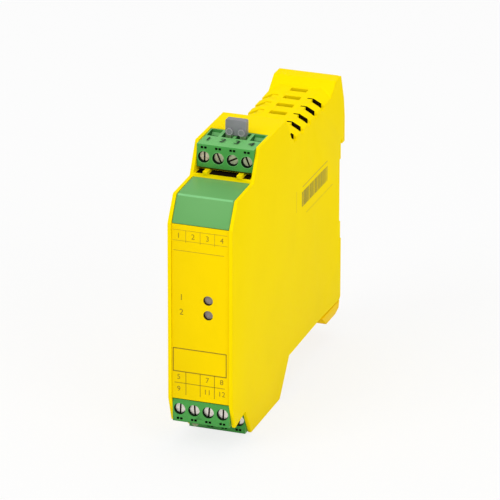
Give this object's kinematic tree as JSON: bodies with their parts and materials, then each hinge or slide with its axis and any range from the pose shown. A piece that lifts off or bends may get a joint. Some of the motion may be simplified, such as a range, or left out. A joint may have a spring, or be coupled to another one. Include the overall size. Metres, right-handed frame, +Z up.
{
  "type": "safety relay",
  "caption": "Slim rail-mounted safety relay in a yellow housing with pull-off green screw terminal plugs, a grey insertion bridge, a vented roof and a sprung foot latch.",
  "frame": {"origin": "middle of the rail seat: the plane that the rail's face rests on, half way up the 35 mm rail and half way across the housing", "axes": "X across the 22.5 mm width, +Y back into the rail, +Z up as mounted"},
  "size_m": [0.0226, 0.1145, 0.1055],
  "materials": {
    "housing_yellow": "fine matt moulded",
    "panel_yellow": "fine matt moulded",
    "cover_green": "satin moulded",
    "plug_green": "satin moulded",
    "header_green": "satin moulded",
    "board_green": "solder resist",
    "relay_black": "moulded",
    "capacitor_sleeve": "shrink sleeve",
    "coil_grey": "ferrite",
    "chip_black": "moulded",
    "led_white": "clear resin",
    "light_guide": "clear acrylic",
    "spring_steel": "drawn wire",
    "latch_orange": "moulded",
    "bridge_grey": "moulded",
    "contact_tin": "tin plated copper",
    "screw_steel": "zinc plated, blank",
    "cage_steel": "nickel plated"
  },
  "bodies": {
    "housing": {"housing_shell": "housing_yellow", "side_cover": "housing_yellow", "front_panel": "panel_yellow", "blank_cover": "cover_green", "circuit_board": "board_green", "sealed_relay_1": "relay_black", "sealed_relay_2": "relay_black", "capacitor": "capacitor_sleeve", "supply_coil": "coil_grey", "control_chips": "chip_black", "status_leds": "led_white", "light_guide_upper": "light_guide", "light_guide_lower": "light_guide", "latch_spring": "spring_steel", "top_header": "header_green", "top_header_pins": "contact_tin", "front_header": "header_green", "front_header_pins": "contact_tin", "rear_header": "header_green", "rear_header_pins": "contact_tin"},
    "foot_latch": {"foot_latch": "latch_orange"},
    "top_plug": {"top_plug": "plug_green", "top_contact_bars": "contact_tin", "bridge_grip": "bridge_grey", "bridge_prongs": "contact_tin"},
    "top_screw_1": {"top_screw_1": "screw_steel"},
    "top_cage_1": {"top_cage_1": "cage_steel"},
    "top_screw_2": {"top_screw_2": "screw_steel"},
    "top_cage_2": {"top_cage_2": "cage_steel"},
    "top_screw_3": {"top_screw_3": "screw_steel"},
    "top_cage_3": {"top_cage_3": "cage_steel"},
    "top_screw_4": {"top_screw_4": "screw_steel"},
    "top_cage_4": {"top_cage_4": "cage_steel"},
    "front_plug": {"front_plug": "plug_green", "front_contact_bars": "contact_tin"},
    "front_screw_1": {"front_screw_1": "screw_steel"},
    "front_cage_1": {"front_cage_1": "cage_steel"},
    "front_screw_2": {"front_screw_2": "screw_steel"},
    "front_cage_2": {"front_cage_2": "cage_steel"},
    "front_screw_3": {"front_screw_3": "screw_steel"},
    "front_cage_3": {"front_cage_3": "cage_steel"},
    "front_screw_4": {"front_screw_4": "screw_steel"},
    "front_cage_4": {"front_cage_4": "cage_steel"},
    "rear_plug": {"rear_plug": "plug_green", "rear_contact_bars": "contact_tin"},
    "rear_screw_1": {"rear_screw_1": "screw_steel"},
    "rear_cage_1": {"rear_cage_1": "cage_steel"},
    "rear_screw_2": {"rear_screw_2": "screw_steel"},
    "rear_cage_2": {"rear_cage_2": "cage_steel"},
    "rear_screw_3": {"rear_screw_3": "screw_steel"},
    "rear_cage_3": {"rear_cage_3": "cage_steel"},
    "rear_screw_4": {"rear_screw_4": "screw_steel"},
    "rear_cage_4": {"rear_cage_4": "cage_steel"}
  },
  "joints": [
    {"name": "latch_slide", "type": "slide", "parent": "housing", "child": "foot_latch", "axis": [0, 0, -1], "range_m": [0, 0.0035], "stiffness_N_per_m": 4000, "springref_m": -0.002, "deforming": ["latch_spring"]},
    {"name": "top_plug_slide", "type": "slide", "parent": "housing", "child": "top_plug", "axis": [0, -1, 0], "range_m": [0, 0.01]},
    {"name": "top_screw_1_turn", "type": "hinge", "parent": "top_plug", "child": "top_screw_1", "pos_m": [-0.0075, -0.0855, 0.0403], "axis": [0, 1, 0], "range_deg": [0, 1921]},
    {"name": "top_cage_1_slide", "type": "slide", "parent": "top_plug", "child": "top_cage_1", "axis": [0, -1, 0], "range_m": [0, 0.0024]},
    {"name": "top_screw_2_turn", "type": "hinge", "parent": "top_plug", "child": "top_screw_2", "pos_m": [-0.0025, -0.0855, 0.0403], "axis": [0, 1, 0], "range_deg": [-1361, 0]},
    {"name": "top_cage_2_slide", "type": "slide", "parent": "top_plug", "child": "top_cage_2", "axis": [0, -1, 0], "range_m": [-0.0017, 0]},
    {"name": "top_screw_3_turn", "type": "hinge", "parent": "top_plug", "child": "top_screw_3", "pos_m": [0.0025, -0.0855, 0.0403], "axis": [0, 1, 0], "range_deg": [-1361, 0]},
    {"name": "top_cage_3_slide", "type": "slide", "parent": "top_plug", "child": "top_cage_3", "axis": [0, -1, 0], "range_m": [-0.0017, 0]},
    {"name": "top_screw_4_turn", "type": "hinge", "parent": "top_plug", "child": "top_screw_4", "pos_m": [0.0075, -0.0855, 0.0403], "axis": [0, 1, 0], "range_deg": [0, 1921]},
    {"name": "top_cage_4_slide", "type": "slide", "parent": "top_plug", "child": "top_cage_4", "axis": [0, -1, 0], "range_m": [0, 0.0024]},
    {"name": "front_plug_slide", "type": "slide", "parent": "housing", "child": "front_plug", "axis": [0, -1, 0], "range_m": [0, 0.01]},
    {"name": "front_screw_1_turn", "type": "hinge", "parent": "front_plug", "child": "front_screw_1", "pos_m": [0.0075, -0.109, -0.0402], "axis": [0, 1, 0], "range_deg": [0, 1921]},
    {"name": "front_cage_1_slide", "type": "slide", "parent": "front_plug", "child": "front_cage_1", "axis": [0, -1, 0], "range_m": [0, 0.0024]},
    {"name": "front_screw_2_turn", "type": "hinge", "parent": "front_plug", "child": "front_screw_2", "pos_m": [0.0025, -0.109, -0.0402], "axis": [0, 1, 0], "range_deg": [0, 1921]},
    {"name": "front_cage_2_slide", "type": "slide", "parent": "front_plug", "child": "front_cage_2", "axis": [0, -1, 0], "range_m": [0, 0.0024]},
    {"name": "front_screw_3_turn", "type": "hinge", "parent": "front_plug", "child": "front_screw_3", "pos_m": [-0.0025, -0.109, -0.0402], "axis": [0, 1, 0], "range_deg": [0, 1921]},
    {"name": "front_cage_3_slide", "type": "slide", "parent": "front_plug", "child": "front_cage_3", "axis": [0, -1, 0], "range_m": [0, 0.0024]},
    {"name": "front_screw_4_turn", "type": "hinge", "parent": "front_plug", "child": "front_screw_4", "pos_m": [-0.0075, -0.109, -0.0402], "axis": [0, 1, 0], "range_deg": [0, 1921]},
    {"name": "front_cage_4_slide", "type": "slide", "parent": "front_plug", "child": "front_cage_4", "axis": [0, -1, 0], "range_m": [0, 0.0024]},
    {"name": "rear_plug_slide", "type": "slide", "parent": "housing", "child": "rear_plug", "axis": [0, -1, 0], "range_m": [0, 0.01]},
    {"name": "rear_screw_1_turn", "type": "hinge", "parent": "rear_plug", "child": "rear_screw_1", "pos_m": [0.0075, -0.0933, -0.0488], "axis": [0, 1, 0], "range_deg": [0, 1921]},
    {"name": "rear_cage_1_slide", "type": "slide", "parent": "rear_plug", "child": "rear_cage_1", "axis": [0, -1, 0], "range_m": [0, 0.0024]},
    {"name": "rear_screw_2_turn", "type": "hinge", "parent": "rear_plug", "child": "rear_screw_2", "pos_m": [0.0025, -0.0933, -0.0488], "axis": [0, 1, 0], "range_deg": [0, 1921]},
    {"name": "rear_cage_2_slide", "type": "slide", "parent": "rear_plug", "child": "rear_cage_2", "axis": [0, -1, 0], "range_m": [0, 0.0024]},
    {"name": "rear_screw_3_turn", "type": "hinge", "parent": "rear_plug", "child": "rear_screw_3", "pos_m": [-0.0025, -0.0933, -0.0488], "axis": [0, 1, 0], "range_deg": [0, 1921]},
    {"name": "rear_cage_3_slide", "type": "slide", "parent": "rear_plug", "child": "rear_cage_3", "axis": [0, -1, 0], "range_m": [0, 0.0024]},
    {"name": "rear_screw_4_turn", "type": "hinge", "parent": "rear_plug", "child": "rear_screw_4", "pos_m": [-0.0075, -0.0933, -0.0488], "axis": [0, 1, 0], "range_deg": [0, 1921]},
    {"name": "rear_cage_4_slide", "type": "slide", "parent": "rear_plug", "child": "rear_cage_4", "axis": [0, -1, 0], "range_m": [0, 0.0024]}
  ],
  "couplings": [
    {"joint": "top_screw_1_turn", "follows": "top_cage_1_slide", "rad_per_m": 13963},
    {"joint": "top_screw_2_turn", "follows": "top_cage_2_slide", "rad_per_m": 13963},
    {"joint": "top_screw_3_turn", "follows": "top_cage_3_slide", "rad_per_m": 13963},
    {"joint": "top_screw_4_turn", "follows": "top_cage_4_slide", "rad_per_m": 13963},
    {"joint": "front_screw_1_turn", "follows": "front_cage_1_slide", "rad_per_m": 13963},
    {"joint": "front_screw_2_turn", "follows": "front_cage_2_slide", "rad_per_m": 13963},
    {"joint": "front_screw_3_turn", "follows": "front_cage_3_slide", "rad_per_m": 13963},
    {"joint": "front_screw_4_turn", "follows": "front_cage_4_slide", "rad_per_m": 13963},
    {"joint": "rear_screw_1_turn", "follows": "rear_cage_1_slide", "rad_per_m": 13963},
    {"joint": "rear_screw_2_turn", "follows": "rear_cage_2_slide", "rad_per_m": 13963},
    {"joint": "rear_screw_3_turn", "follows": "rear_cage_3_slide", "rad_per_m": 13963},
    {"joint": "rear_screw_4_turn", "follows": "rear_cage_4_slide", "rad_per_m": 13963}
  ]
}
